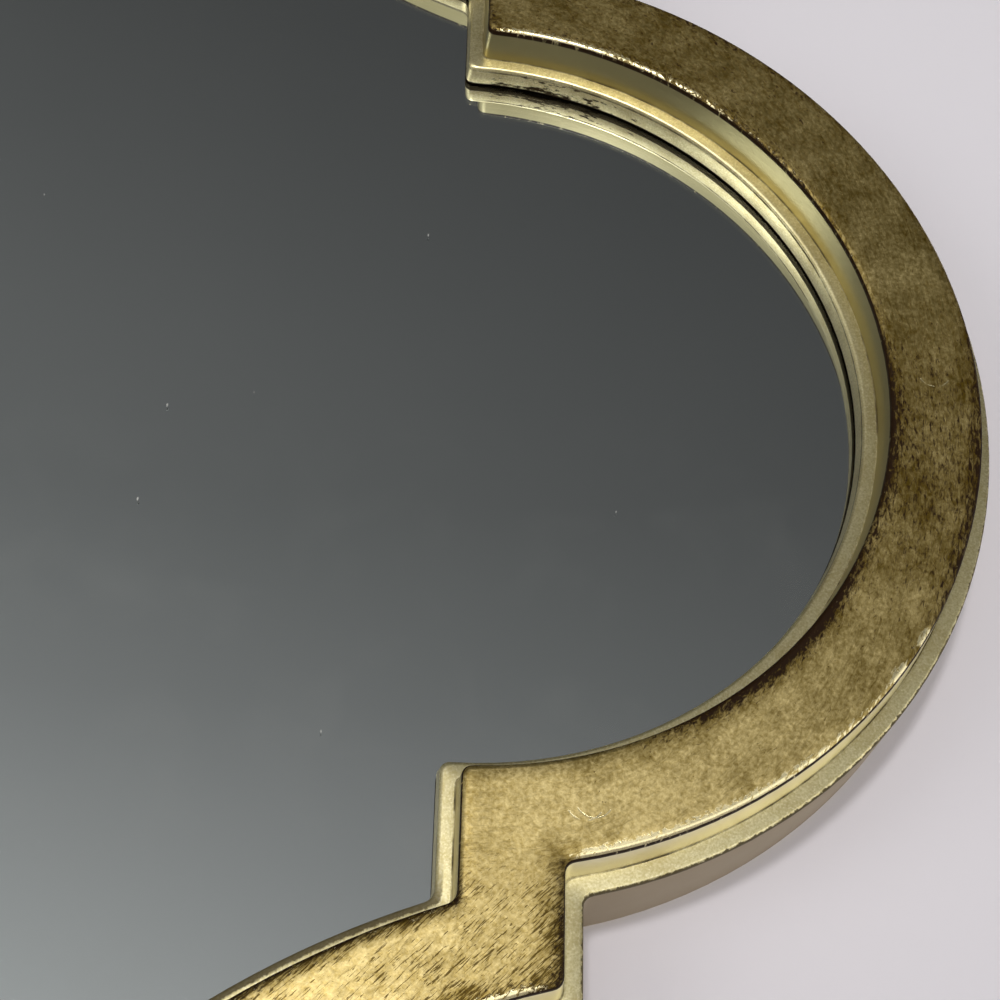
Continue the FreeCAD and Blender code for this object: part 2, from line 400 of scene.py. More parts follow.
def button_places():
    tip = Vector((LOBE_AT + LOBE_R + RABBET + BUTTON_SET, 0))
    scoop = SCOOP_CENTRE - DIAGONAL * (SCOOP_R - RABBET - BUTTON_SET)
    places = []
    for turn in range(4):
        for place, along in ((tip, Vector((-1, 0))), (scoop, -DIAGONAL)):
            places.append(on_land(quarter_turn(place, turn), quarter_turn(along, turn)))
    return places


def hanger_places():
    angle = math.radians(SCOOP_MIDDLE - HANGER_ANGLE)
    ray = Vector((math.cos(angle), math.sin(angle)))
    along = Vector((ray.y, -ray.x))
    right = SCOOP_CENTRE + ray * (SCOOP_R - RABBET - HANGER_SET) + along * (STRAP_LENGTH / 2)
    left, left_along = Vector((-right.x, right.y)), Vector((-along.x, along.y))
    return {"right": on_land(right, along), "left": on_land(left, left_along)}


def copy_to(model, name, matrix):
    """A copy of the model with a mesh of its own, moved by the matrix."""
    bpy.ops.object.select_all(action="DESELECT")
    model.select_set(True)
    bpy.context.view_layer.objects.active = model
    bpy.ops.object.duplicate()
    piece = bpy.context.object
    piece.name = piece.data.name = name
    piece.data.transform(matrix)
    return piece


def remove_model(model):
    bpy.ops.object.select_all(action="DESELECT")
    model.select_set(True)
    bpy.ops.object.delete()


BUTTON_PLACES, HANGER_PLACES = button_places(), hanger_places()
print("turn buttons:", len(BUTTON_PLACES), "hangers:", len(HANGER_PLACES))

# %% [markdown]
# ## Turn buttons
# A turn button is a stamped steel tongue on a screw. Its tip is bent up so that a finger can move it off
# the board. The stamp leaves a soft edge. A flat shape could be thickened and bevelled, but loops can also
# follow the tongue: out from the hole to the rim below, over the edge, and back above.

# %% Turn buttons
BUTTON_R = 6.0 * MM
BUTTON_REACH = 22.0 * MM
TIP_HALF = 4.0 * MM
TIP_ROUND = 2.0 * MM
BUTTON_THICK = 1.5 * MM
BUTTON_LIFT = 2.2 * MM
BEND_AT = 16.0 * MM
BUTTON_HOLE = 1.85 * MM
STAMP_ROUND = 0.25 * MM
SHOULDER = 0.8              # share of the way to the rim at which the flat is divided
TIP_CUTS, HEEL_CUTS = 4, 20


def button_plan():
    tip = BUTTON_REACH - TIP_ROUND, TIP_HALF - TIP_ROUND
    low = arc(Vector((tip[0], -tip[1])), TIP_ROUND, -math.pi / 2, 0, TIP_CUTS)
    high = arc(Vector(tip), TIP_ROUND, 0, math.pi / 2, TIP_CUTS)
    return low + high + arc(Vector((0, 0)), BUTTON_R, math.pi / 2, math.pi * 3 / 2, HEEL_CUTS)


def button_loop(plan, height, inset):
    """The plan drawn in by an inset, with its tip bent up."""
    points = []
    for spot in plan:
        spot = spot * (1 - inset / spot.length)
        bent = max(0.0, (spot.x - BEND_AT) / (BUTTON_REACH - BEND_AT))
        points.append((spot.x, spot.y, height + BUTTON_LIFT * bent))
    return points


def turn_button():
    plan = button_plan()
    hole = [spot.normalized() * BUTTON_HOLE for spot in plan]
    shoulder = [spot * min(SHOULDER, BEND_AT / spot.length) for spot in plan]
    low, high = STAMP_ROUND, BUTTON_THICK - STAMP_ROUND
    rows = [(hole, 0, 0), (shoulder, 0, 0), (plan, 0, STAMP_ROUND), (plan, low, 0), (plan, high, 0),
            (plan, BUTTON_THICK, STAMP_ROUND), (shoulder, BUTTON_THICK, 0), (hole, BUTTON_THICK, 0),
            (hole, 0, 0)]
    button, _ = skin("turn_button", [button_loop(*row) for row in rows])
    close_skin(button)
    return button


model = turn_button()
steel_pieces = []
for number, place in enumerate(BUTTON_PLACES, start=1):
    piece = copy_to(model, f"stamped_button_{number}", place)
    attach(piece, f"turn_button_{number}")
    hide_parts(f"turn_button_{number}")
    steel_pieces.append(piece)
remove_model(model)

# %% [markdown]
# ## Screws
# A pan-head screw is a turned shape, apart from the cross in its head. A cross could be cut out with a
# Boolean, but the loops can also simply change from a round to a cross and sink. No two screws stop at the
# same angle.

# %% Screws
SCREW_CUTS = 48
SCREW_TURN = 1.1            # radians from one screw to the next
ARM_LENGTH = 1.7 * MM
ARM_HALF = 0.42 * MM
NEARLY_NONE = 0.01          # keeps the division safe along an arm
STRAP_THICK = 1.0 * MM
STRAP_HOLE = 20.5 * MM
BUTTON_SEAT = 1.6 * MM      # under the head, just above the button
# Radius and height of the loops in mm, from the point up to the flat of the head.
SCREW_PROFILE = ((0, -11), (1.75, -8.5), (1.75, 0), (3.6, 0), (3.6, 0.45), (3.45, 1.1), (3.0, 1.75),
                 (2.4, 2.2), (2.0, 2.4))
# Size of the cross as a share, and height of its loops in mm, from its rim down to its floor.
CROSS_PROFILE = ((1.0, 2.4), (0.85, 1.6), (0.0, 1.1))


def screw_loop(radius, height):
    turns = [2 * math.pi * i / SCREW_CUTS for i in range(SCREW_CUTS)]
    return [(radius * math.cos(a), radius * math.sin(a), height) for a in turns]


def cross_loop(size, height):
    points = []
    for x, y, _ in screw_loop(1.0, 0.0):
        long, short = max(abs(x), abs(y)), min(abs(x), abs(y))
        reach = min(ARM_LENGTH / long, ARM_HALF / max(short, NEARLY_NONE))
        points.append((x * reach * size, y * reach * size, height))
    return points


def screw_set(name, matrices):
    """One piece with a screw at each place."""
    loops = [screw_loop(radius * MM, height * MM) for radius, height in SCREW_PROFILE]
    loops += [cross_loop(size, height * MM) for size, height in CROSS_PROFILE]
    model, _ = skin("screw", loops)
    close_skin(model)
    screws = []
    for number, matrix in enumerate(matrices, start=1):
        turned = matrix @ Matrix.Rotation(SCREW_TURN * number, 4, "Z")
        screws.append(copy_to(model, f"{name}_{number}", turned))
    remove_model(model)
    for screw in screws:
        screw.select_set(True)
    bpy.context.view_layer.objects.active = screws[0]
    bpy.ops.object.join()
    screws[0].name = screws[0].data.name = name
    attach(screws[0], "mirror")
    return screws[0]


on_button = Matrix.Translation((0, 0, BUTTON_SEAT))
on_strap = Matrix.Translation((-STRAP_HOLE, 0, 2 * STRAP_THICK))
button_seats = [place @ on_button for place in BUTTON_PLACES]
hanger_seats = [place @ on_strap for place in HANGER_PLACES.values()]
turn_screws = screw_set("turn_screws", button_seats)
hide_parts("button_screws")
strap_screws = screw_set("strap_screws", hanger_seats)
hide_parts("hanger_screws")

# %% [markdown]
# ## Hanger straps
# The strap is one strip of sheet steel, bent round the ring's bar so that its two leaves lie on each other.
# It could be a box with a tube, but the fold would be missing. So a thin section is swept along the strip's
# middle line.

# %% Hanger straps
STRAP_HALF = 5.0 * MM
STRAP_END_ROUND = 3.5 * MM
SIDE_FLAT = 0.6             # share of the thickness that isn't rounded
STRAP_END_STEPS = (0.0, 0.3, 0.9, 2.0, 3.5)     # mm from the end, closer where the outline curves more
BAR_HEIGHT = 2.55 * MM      # middle of the bar above the land
FOLD_R = 2.05 * MM          # middle of the sheet round the bar
FOLD_END = 0.98 * math.pi
FOLD_CUTS = 24
NECK = ((-2.3, 2.0), (-3.2, 1.62), (-5.0, 1.5))     # mm, from the fold down to the upper leaf


def strip_middle():
    """Middle line of the strip in (x, z): the lower leaf, the fold, the neck and the upper leaf."""
    ends = [-STRAP_LENGTH + step * MM for step in STRAP_END_STEPS]
    lower = [Vector((x, STRAP_THICK / 2)) for x in ends]
    fold = arc(Vector((0, BAR_HEIGHT)), FOLD_R, -math.pi / 2, FOLD_END, FOLD_CUTS)
    neck = [Vector(spot) * MM for spot in NECK]
    upper = [Vector((x, STRAP_THICK * 1.5)) for x in reversed(ends)]
    return lower + fold + neck + upper


def strip_section(spot, way):
    """Rounded flat section of the strip at a point of its middle line."""
    up = Vector((-way.y, way.x))
    from_end = max(0.0, min(spot.x + STRAP_LENGTH, STRAP_END_ROUND))
    swell = math.sqrt(STRAP_END_ROUND ** 2 - (STRAP_END_ROUND - from_end) ** 2)
    half = STRAP_HALF - STRAP_END_ROUND + swell
    flat = half - STAMP_ROUND
    corners = [(half, -SIDE_FLAT), (half, SIDE_FLAT), (flat, 1), (-flat, 1),
               (-half, SIDE_FLAT), (-half, -SIDE_FLAT), (-flat, -1), (flat, -1)]
    points = []
    for side, rise in corners:
        at = spot + up * rise * STRAP_THICK / 2
        points.append((at.x, side, at.y))
    return points


def hanger_strap():
    line = strip_middle()
    loops = []
    for i, spot in enumerate(line):
        way = (line[min(i + 1, len(line) - 1)] - line[max(i - 1, 0)]).normalized()
        loops.append(strip_section(spot, way))
    first, last = [[(end.x, 0, end.y)] * len(loops[0]) for end in (line[0], line[-1])]
    strap, _ = skin("strap", [first] + loops + [last])
    close_skin(strap)
    return strap


strap_model = hanger_strap()

# %% [markdown]
# ## Hanger rings
# The ring is a wire, bent to a D: a straight bar that lies in the strap's fold, and a narrower end. A curve
# with a bevel would give a wire too, but here the same skin sweeps a round along the bent line, so that it
# meets itself. The ring hangs down over the strap, just clear of it.

# %% Hanger rings
WIRE_R = 1.3 * MM
WIRE_CUTS = 16
RING_BAR_HALF = 8.0 * MM
RING_END_HALF = 5.0 * MM
RING_REACH = 14.0 * MM
RING_RISE = 1.05 * MM       # how much higher the end lies than the bar
RING_LEAN = math.asin(RING_RISE / RING_REACH)
BAR_BEND = 2.2 * MM
END_BEND = 3.0 * MM


def round_bend(before, corner, after, radius, cuts=8):
    """Points of an arc that rounds a corner."""
    back, on = (before - corner).normalized(), (after - corner).normalized()
    half = back.angle(on) / 2
    start = corner + back * radius / math.tan(half)
    centre = corner + (back + on).normalized() * radius / math.sin(half)
    sweep = (math.pi - 2 * half) / cuts
    return [centre + (start - centre) @ Matrix.Rotation(-sweep * i, 2) for i in range(cuts + 1)]


def hanger_ring():
    corners = [Vector((0, -RING_BAR_HALF)), Vector((RING_REACH, -RING_END_HALF)),
               Vector((RING_REACH, RING_END_HALF)), Vector((0, RING_BAR_HALF))]
    bends = (BAR_BEND, END_BEND, END_BEND, BAR_BEND)
    line = []
    for i, corner in enumerate(corners):
        line += round_bend(corners[i - 1], corner, corners[(i + 1) % 4], bends[i])
    loops = []
    for i, spot in enumerate(line + line[:1]):
        way = (line[(i + 1) % len(line)] - line[(i - 1) % len(line)]).normalized()
        side = Vector((way.y, -way.x))
        loop = []
        for step in range(WIRE_CUTS):
            angle = 2 * math.pi * step / WIRE_CUTS
            out = spot + side * WIRE_R * math.cos(angle)
            loop.append((out.x, out.y, WIRE_R * math.sin(angle)))
        loops.append(loop)
    ring, _ = skin("ring", loops)
    close_skin(ring)
    hang = Matrix.Rotation(math.pi + RING_LEAN, 4, "Y")
    ring.data.transform(Matrix.Translation((0, 0, BAR_HEIGHT)) @ hang)
    return ring


ring_model = hanger_ring()
for hand, place in HANGER_PLACES.items():
    strap = copy_to(strap_model, f"folded_strap_{hand}", place)
    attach(strap, "mirror")
    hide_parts(f"hanger_strap_{hand}")
    ring = copy_to(ring_model, f"wire_ring_{hand}", place)
    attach(ring, f"hanger_ring_{hand}")
    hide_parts(f"hanger_ring_{hand}")
    for piece in (strap, ring):
        steel_pieces.append(piece)
remove_model(strap_model)
remove_model(ring_model)

# %% [markdown]
# ## Marks of the maker's hand
# The glaze was brushed round each lobe and straight along each scoop, and rubbed off unevenly: it stayed
# dark along the lower inner edge of a lobe and at the steps, and the edges that hands and cloth reach are
# bare. The bare edges also carry a painted highlight, placed round each lobe where the right lobe's edges
# catch the light. Noise alone can't know where that is, so each point of both rings gets these marks as
# attributes: its place along and across the strokes, once round the lobe and once along the scoop, how far
# it belongs to the scoop, how much glaze was left on it, and how worn it is, which also sets the painted
# highlight. Each lobe was rubbed a little differently.

# %% Brush, glaze and wear attributes
STROKE_LEAN = 1.3           # strokes follow an oval this much taller than the lobe
STROKE_TURN = 18 * MM       # the strokes change from lobe to scoop over this length
STROKE_START = 14 * MM      # how far past the lobe's end the change begins
STEP_FADE = 5 * MM          # a step's own marks fade over this length on either side of it
GLAZE_EDGE = 8 * MM         # width of the glaze left along an edge
QUARTER_GAP = 0.3           # sets the strokes of the four quarters apart
LOBE_SHIFT = 30             # degrees by which each lobe was rubbed differently from the one before
# Middle and reach of each mark round a lobe, in degrees from its tip.
LOW_GLAZE, TIP_GLAZE, HIGH_GLAZE = (-44, 46), (-10, 55), (65, 100)
# Bare edges, which also carry a painted highlight: the inner edge near a lobe's top, the outer near its
# bottom.
INNER_WEAR_AND_GLINT, OUTER_WEAR_AND_GLINT = (85, 62), (-75, 55)


def hump(value, centre, reach):
    """1 at the centre, falling smoothly to 0 at reach on either side."""
    t = min(abs(value - centre) / reach, 1.0)
    return (1 - t * t) ** 2


def nearest_lobe(point):
    """Quarter turns from the right lobe to the one nearest to a point."""
    if abs(point.x) >= abs(point.y):
        return 0 if point.x > 0 else 2
    return 1 if point.y > 0 else 3


def lobe_brush(point):
    turn = nearest_lobe(point)
    spoke = point - quarter_turn(LOBE_CENTRE, turn)
    spoke.y /= STROKE_LEAN
    spoke = quarter_turn(spoke, -turn)
    return math.atan2(spoke.y, spoke.x) * LOBE_R, spoke.length, turn * QUARTER_GAP


def scoop_brush(point):
    x, y = abs(point.x), abs(point.y)
    quarter = 1 + 2 * (point.x > 0) + (point.y > 0)
    return (x - y) / math.sqrt(2), (x + y) / math.sqrt(2), -quarter * QUARTER_GAP


def past_step(point, across):
    """How far a point lies beyond the line of the nearest step, towards the lobe."""
    return max(abs(point.x), abs(point.y)) - STEP_LINE - across


def scoop_share(point, across):
    along = min(abs(point.x), abs(point.y)) - LOBE_R - STROKE_START
    begun = 1 - hump(max(along, 0.0), 0.0, STROKE_TURN)
    return begun * hump(max(past_step(point, across), 0.0), 0.0, STROKE_TURN)


def on_step(point, across):
    """1 on the straight step, falling to 0 on the lobe and the scoop beside it."""
    return hump(past_step(point, across), 0.0, STEP_FADE)


def lobe_angle(point):
    """Degrees round the nearest lobe from its tip, and on from lobe to lobe by the shift."""
    turn = nearest_lobe(point)
    spoke = quarter_turn(point, -turn) - LOBE_CENTRE
    return math.degrees(math.atan2(spoke.y, spoke.x)) + LOBE_SHIFT * turn


def glaze_left(point, across):
    inner = max(0.0, 1 - across / GLAZE_EDGE)
    outer = max(0.0, 1 - (BAND_WIDTH - across) / GLAZE_EDGE)
    angle = lobe_angle(point)
    low = hump(angle, *LOW_GLAZE)
    high = max(hump(angle, *HIGH_GLAZE), 1.15 * hump(angle, *TIP_GLAZE))
    on_lobe = max(inner * low, 0.7 * outer * high, 0.46 * high, 0.7 * inner * high)
    by_scoop = max(0.8 * inner ** 3, 0.65 * outer, 0.1)
    by_step = max(0.3 * inner, 0.6 * outer) * on_step(point, across)
    share = scoop_share(point, across)
    return max(on_lobe * (1 - share) + by_scoop * share, by_step)


# How worn an edge is. The wear sits where the right lobe's edges catch the light, so it also places a painted
# highlight.
def edge_wear_and_glint(point, across):
    angle = lobe_angle(point)
    if across < BAND_WIDTH / 2:
        on_lobe, by_scoop = 1.15 * hump(angle, *INNER_WEAR_AND_GLINT), 0.3
    else:
        on_lobe, by_scoop = 1.5 * hump(angle, *OUTER_WEAR_AND_GLINT), 1.1
    share = scoop_share(point, across)
    return (on_lobe * (1 - share) + by_scoop * share) * (1 - on_step(point, across))


def mark_points(piece):
    mesh = piece.data
    distances = [item.value for item in mesh.attributes["across"].data]
    points = [Vector((v.co.x, v.co.z)) for v in mesh.vertices]
    for name, brush in (("lobe_brush", lobe_brush), ("scoop_brush", scoop_brush)):
        flat = [number for point in points for number in brush(point)]
        mesh.attributes.new(name, "FLOAT_VECTOR", "POINT").data.foreach_set("vector", flat)
    for name, amount in (("scoop_share", scoop_share), ("glaze_left", glaze_left), ("edge_wear_and_glint", edge_wear_and_glint)):
        values = [amount(point, across) for point, across in zip(points, distances)]
        mesh.attributes.new(name, "FLOAT", "POINT").data.foreach_set("value", values)
        print(name, "from", round(min(values), 2), "to", round(max(values), 2))


mark_points(band)
mark_points(base)

# %% [markdown]
# ## Brush marks
# A nearly dry brush leaves flecks, dabs and thin hairlines. They could be painted as a picture, but that
# would blur close up. Here each kind of mark is a noise, stretched to the length and the width of the mark.
# It runs once round the lobe and once along the scoop, and each point takes its share of both.

# %% Brush marks
# Length and width of each kind of mark in mm, and how rough its noise is.
BRUSH_MARKS = {"flecks": (1.5, 0.7, 0.6), "dabs": (2.4, 1.3, 0.7), "hairs": (4.0, 0.4, 0.5)}


def brush_marks(m, share):
    """The noise of each kind of mark, by its name."""
    marks = {}
    for name, (length, width, rough) in BRUSH_MARKS.items():
        both = []
        for way in ("lobe_brush", "scoop_brush"):
            brush = add(m, "Attribute", attribute_name=way).outputs["Vector"]
            per_mark = (1 / (length * MM), 1 / (width * MM), 1 / MM)
            scaled = add(m, "VectorMath", [brush, per_mark], operation="MULTIPLY")
            both.append(add(m, "TexNoise", {"Vector": scaled, "Scale": 1.0, "Detail": 4.0, "Roughness": rough,
                                            "Distortion": 0.8}))
        marks[name] = add(m, "Mix", [share] + both, data_type="FLOAT")
    return marks


print("brush marks:", ", ".join(BRUSH_MARKS))

# %% [markdown]
# ## Glaze and wear
# The glaze is thin where the cloth took most of it off, and a thick dark film where the cloth didn't reach.
# Both come from the same brush marks: the more glaze was left on, the lower a mark may be and still show.
# The edges are worn to bare gold in broken stretches, with two knocks on the outer edge and a few curled
# scratches. The pale bare gold on the edges is also a painted highlight, and a dark line painted below each
# worn edge stands in for the dark reflection of its rounding.

# %% Glaze and wear
PATCH_SIZE = 11 * MM    # the thin glaze comes and goes in patches of about this size
RIM = 0.8 * MM          # depth to which the face's finish runs over the edge
WALL_TOP = 1.4 * MM     # where the wall's lacquer begins
# The dark line below the worn edge is painted: it stands in for the dark reflection of the edge's rounding.
DARK_REFLECTION_TOP = 0.4 * MM     # where the dark line below the worn edge begins
DARK_REFLECTION_FADE = 0.15 * MM
DARK_REFLECTION_LOW = (0.4 * MM, 0.7 * MM)     # where that line ends, below the rounded edge
EDGE_BARE = 1.2 * MM    # how far in on the face the wear keeps its full strength
EDGE_REACH = 3.2 * MM   # and where it ends
CHIPS = ((0.3742, -0.0415, -0.0795), (0.3812, -0.0415, -0.07))     # knocks on the right lobe's outer edge
CHIP_R = 2.0 * MM
CURL_R = 4.3 * MM       # radius of the fine curled scratches
CURL_WIDTH = 0.14 * MM
CURLS = ((0.3897, -0.042, 0.0055), (0.2989, -0.042, -0.1155), (0.301, -0.042, -0.1148), (0.3, -0.042, 0.127))


def thin_glaze(m, marks, place, left_on, share):
    """Amounts of the soft dabs, and of the crisp hairlines and ticks."""
    patches = add(m, "TexNoise", {"Vector": place, "Scale": 1 / PATCH_SIZE, "Detail": 3.0, "Roughness": 0.6})
    level = add(m, "Math", [patches, 0.7, -0.35], operation="MULTIPLY_ADD")
    level = add(m, "Math", [left_on, 0.62, level], operation="MULTIPLY_ADD")
    dabs = add(m, "Math", [marks["dabs"], level], operation="ADD")
    dabs = add(m, "MapRange", [dabs, 0.38, 1.0])
    hairs = add(m, "Math", [level, 0.4, marks["hairs"]], operation="MULTIPLY_ADD")
    by_way = add(m, "MapRange", [share, 0.0, 1.0, 0.16, 0.9])
    hairs = add(m, "MapRange", [hairs, 0.59, 0.65, 0.0, by_way])
    # A few short ticks stay crisp everywhere.
    ticks = add(m, "Math", [level, 0.12, marks["flecks"]], operation="MULTIPLY_ADD")
    ticks = add(m, "MapRange", [ticks, 0.67, 0.71, 0.0, 0.8])
    return dabs, add(m, "Math", [hairs, ticks], operation="MAXIMUM")


def thick_glaze_and_dark_reflection(m, marks, left_on, on_face, depth):
    """Amounts of the ragged film where glaze was left on, and of the dark line painted below the worn edge as
    a dark reflection.
    """
    film = add(m, "Math", [marks["flecks"], left_on], operation="ADD")
    film = add(m, "Math", [marks["dabs"], 0.6, film], operation="MULTIPLY_ADD")
    film = add(m, "MapRange", [film, 1.2, 1.5])
    film = add(m, "Math", [film, on_face], operation="MULTIPLY")
    # Painted dark reflection: a dark line below the rounded worn edge, broken where the dabs are low.
    above = add(m, "MapRange", [depth, DARK_REFLECTION_TOP, DARK_REFLECTION_TOP + DARK_REFLECTION_FADE])
    below = add(m, "MapRange", [depth, BAND_ROUND + DARK_REFLECTION_LOW[0], BAND_ROUND + DARK_REFLECTION_LOW[1], 1.0, 0.0])
    line = add(m, "Math", [above, below], operation="MULTIPLY")
    kept = add(m, "MapRange", [marks["dabs"], 0.3, 0.42])
    return film, add(m, "Math", [line, kept], operation="MULTIPLY")


def bare_gold_and_glint(m, marks, place, across, wear_and_glint, on_face):
    """Amount of bare gold, on the worn edges and in the scratches; on the edges it is also a painted
    highlight.
    """
    far_edge = add(m, "Math", [BAND_WIDTH, across], operation="SUBTRACT")
    gap = add(m, "Math", [across, far_edge], operation="MINIMUM")
    near_edge = add(m, "MapRange", [gap, EDGE_BARE, EDGE_REACH, 0.28, -0.6])
    bare_and_glint = add(m, "Math", [wear_and_glint, 0.6, near_edge], operation="MULTIPLY_ADD")
    for middle in CHIPS:
        chip = add(m, "VectorMath", [place, middle], operation="DISTANCE")
        chip = add(m, "MapRange", [chip, CHIP_R, 2 * CHIP_R, 0.6, 0.0])
        bare_and_glint = add(m, "Math", [bare_and_glint, chip], operation="ADD")
    bare_and_glint = add(m, "Math", [marks["flecks"], 2.4, bare_and_glint], operation="MULTIPLY_ADD")
    bare_and_glint = add(m, "MapRange", [bare_and_glint, 1.9, 2.1])
    bare_and_glint = add(m, "Math", [bare_and_glint, on_face], operation="MULTIPLY")
    # Each scratch is the lower part of a circle, and skips here and there.
    skips = add(m, "TexNoise", {"Vector": place, "Scale": 1 / (3 * MM), "Detail": 2.0})
    skips = add(m, "MapRange", [skips, 0.4, 0.5])
    upright = add(m, "SeparateXYZ", [place]).outputs["Z"]
    for middle in CURLS:
        curl = add(m, "VectorMath", [place, middle], operation="DISTANCE")
        curl = add(m, "Math", [curl, CURL_R, CURL_WIDTH], operation="COMPARE")
        lower = add(m, "Math", [upright, middle[2] - 0.5 * CURL_R], operation="LESS_THAN")
        for limit in (lower, skips):
            curl = add(m, "Math", [curl, limit], operation="MULTIPLY")
        bare_and_glint = add(m, "Math", [bare_and_glint, curl], operation="MAXIMUM")
    return bare_and_glint


print("chips:", len(CHIPS), "curled scratches:", len(CURLS))

# %% [markdown]
# ## Antique gilding
# The band was covered with imitation gold leaf, brushed with a dark umber glaze while the brush was nearly
# dry, and then rubbed with a cloth. Leaf is a metal with a slightly rough surface, and the glaze on it is a
# dull brown. One colour with a bump could stand in for both, but then it would shine all over. So the
# colours are laid over each other, from the leaf to the thickest glaze, and the thicker the glaze, the less
# metal shows. The pale bare gold on the edges is also a painted highlight, and a painted dark line below
# them stands in for a dark reflection. The walls of the band have only lacquer, painted in a lit and a
# shaded copy: pale on the outer walls, olive on the inner ones.

# %% Antique gilding
def antique_gilding():
    # Soft gold shine under a brown film, bare edges with a painted highlight and a painted dark line, fine
    # scratches.
    m, place = new_material("antique_gilding")
    names = ("glaze_left", "edge_wear_and_glint", "scoop_share", "across")
    left_on, wear_and_glint, share, across = [add(m, "Attribute", attribute_name=name).outputs["Fac"] for name in names]
    depth = add(m, "Math", [add(m, "SeparateXYZ", [place]).outputs["Y"], FACE], operation="ADD")
    on_face = add(m, "MapRange", [depth, RIM, WALL_TOP, 1.0, 0.0])
    on_wall = add(m, "Math", [1.0, on_face], operation="SUBTRACT")
    marks = brush_marks(m, share)
    film, line = thick_glaze_and_dark_reflection(m, marks, left_on, on_face, depth)
    bare_and_glint = bare_gold_and_glint(m, marks, place, across, wear_and_glint, on_face)
    stays = add(m, "Math", [1.0, bare_and_glint], operation="SUBTRACT")
    glazes = (*thin_glaze(m, marks, place, left_on, share), film)
    dabs, hairs, film = [add(m, "Math", [glaze, stays], operation="MULTIPLY") for glaze in glazes]
    # thick takes the glaze film and the dark line painted below the worn edge as a dark reflection.
    thick = add(m, "Math", [film, line], operation="MAXIMUM")
    leaf = add(m, "TexNoise", {"Vector": place, "Scale": 1 / (0.9 * MM), "Detail": 2.0, "Roughness": 0.6})
    flake = add(m, "MapRange", [leaf, 0.3, 0.7])
    colour = add(m, "Mix", [flake, linear("#cbb26f"), linear("#edd798")], data_type="RGBA")
    # Painted light: the walls' lacquer in two copies, pale where the outer walls catch the light, olive in
    # the shade inside.
    outer = add(m, "Math", [across, BAND_WIDTH / 2], operation="GREATER_THAN")
    lit_and_shaded_lacquer = add(m, "Mix", [outer, linear("#a59b70"), linear("#f2eccf")], data_type="RGBA")
    # f8e9b8 is the bare gold, pale as a painted highlight on the edges; #241404 takes the glaze film and the
    # painted dark line.
    coats = ((dabs, linear("#745e1e")), (hairs, linear("#4c3a12")), (bare_and_glint, linear("#f8e9b8")),
             (on_wall, lit_and_shaded_lacquer), (thick, linear("#241404")))
    for amount, coat in coats:
        colour = add(m, "Mix", [amount, colour, coat], data_type="RGBA")
    metal = add(m, "MapRange", [thick, 0.0, 1.0, 0.97, 0.0])
    rough = add(m, "MapRange", [leaf, 0.3, 0.7, 0.38, 0.48])
    rough = add(m, "Math", [bare_and_glint, -0.14, rough], operation="MULTIPLY_ADD")
    rough = add(m, "Mix", [on_wall, rough, 0.32], data_type="FLOAT")
    rough = add(m, "Math", [thick, 0.2, rough], operation="MULTIPLY_ADD")
    relief = add(m, "Math", [thick, 0.4, leaf], operation="MULTIPLY_ADD")
    relief = add(m, "Math", [bare_and_glint, -0.5, relief], operation="MULTIPLY_ADD")
    relief = add(m, "Math", [relief, on_face], operation="MULTIPLY")
    bump = add(m, "Bump", {"Height": relief, "Strength": 0.25, "Distance": 0.1 * MM})
    shader = add(m, "BsdfPrincipled", {"Base Color": colour, "Metallic": metal, "Roughness": rough,
                                       "Specular IOR Level": 0.12, "Normal": bump})
    add(m, "OutputMaterial", {"Surface": shader})
    return m


dress(band, antique_gilding())

# %% [markdown]
# ## Dark corners of the base
# Thin dark lines lie in the corners of the base, beside each foot of the band, under each ledge and where
# the lip meets the glass: painted shade, with the glaze that ran into them. The outer edge of the outer
# ledge is dark and ragged. The inner edge along each scoop is dark and ragged too, a painted dark
# reflection of its rounding. The inner wall has brown scuffs. They could be painted on, but all of them
# follow from two measures that each point has: the distance across the frame and the height above the wall.

# %% Dark corners of the base
# The thin lines in the corners of the base are painted shade, with the glaze that ran into them.
FOOT_LINE = 0.3 * MM    # width of the line beside a foot of the band, and half that of the line under a ledge
LIP_SHADE = 0.7 * MM    # dark foot of the inner wall, where it meets the glass
RAG_SIZE = 1.6 * MM     # size of the notches in a ragged edge
UNDER_LEDGE = LEDGE - LEDGE_ROUND
KNOCK_PLACE = (0.292, -0.027, 0.102)    # the top of the right lobe's inner wall
KNOCK_REACH = (5 * MM, 36 * MM)
SCUFF_SIZE = 2.2 * MM
SCUFF_STRETCH = (0.5, 1.4, 0.8)     # twice as long from side to side


def corner_shade_lines(m, across, height, cloudy):
    """Amount of painted shade, with glaze, in the thin lines of the corners."""
    lines = add(m, "Math", [height, UNDER_LEDGE - FOOT_LINE, FOOT_LINE], operation="COMPARE")
    for foot in (-INNER_FLARE - FOOT_LINE / 2, BAND_WIDTH + OUTER_FLARE + FOOT_LINE / 2):
        beside = add(m, "Math", [across, foot, FOOT_LINE / 2], operation="COMPARE")
        lines = add(m, "Math", [lines, beside], operation="ADD")
    thick = add(m, "MapRange", [cloudy, 0.35, 0.6, 0.25, 0.9])
    lines = add(m, "Math", [lines, thick], operation="MULTIPLY")
    low = add(m, "Math", [height, GLASS_FRONT + LIP_SHADE], operation="LESS_THAN")
    in_front = add(m, "Math", [across, RABBET - LIP_SHADE], operation="LESS_THAN")
    lip_foot = add(m, "Math", [low, in_front], operation="MULTIPLY")
    return add(m, "Math", [lines, lip_foot], operation="MAXIMUM")


